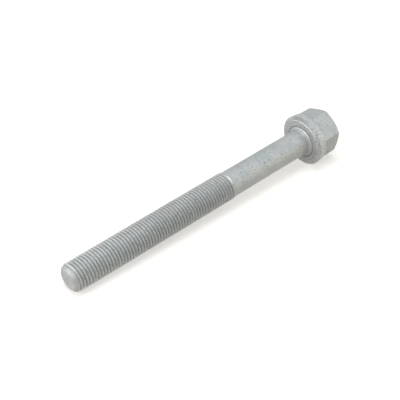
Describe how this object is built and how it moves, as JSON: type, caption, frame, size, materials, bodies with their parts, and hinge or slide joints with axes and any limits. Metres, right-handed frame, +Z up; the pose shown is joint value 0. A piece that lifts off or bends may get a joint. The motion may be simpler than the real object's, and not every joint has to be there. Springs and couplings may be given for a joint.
{
  "type": "cylinder head bolt",
  "caption": "Long steel bolt with a fine right-hand thread, a thinner plain shank, a round collar and a hexagon head.",
  "frame": {"origin": "on the ground under the middle of the bolt's box", "axes": "+X from the point towards the head in plan, +Z up; the bolt lies at rest on its crests and its collar, so its own axis rises by 2.5 degrees towards the head"},
  "size_m": [0.2024, 0.0336, 0.0335],
  "materials": {
    "coated_steel": "matt light grey zinc flake coating on steel"
  },
  "bodies": {
    "root": {"cylinder_head_bolt": "coated_steel"}
  },
  "joints": []
}
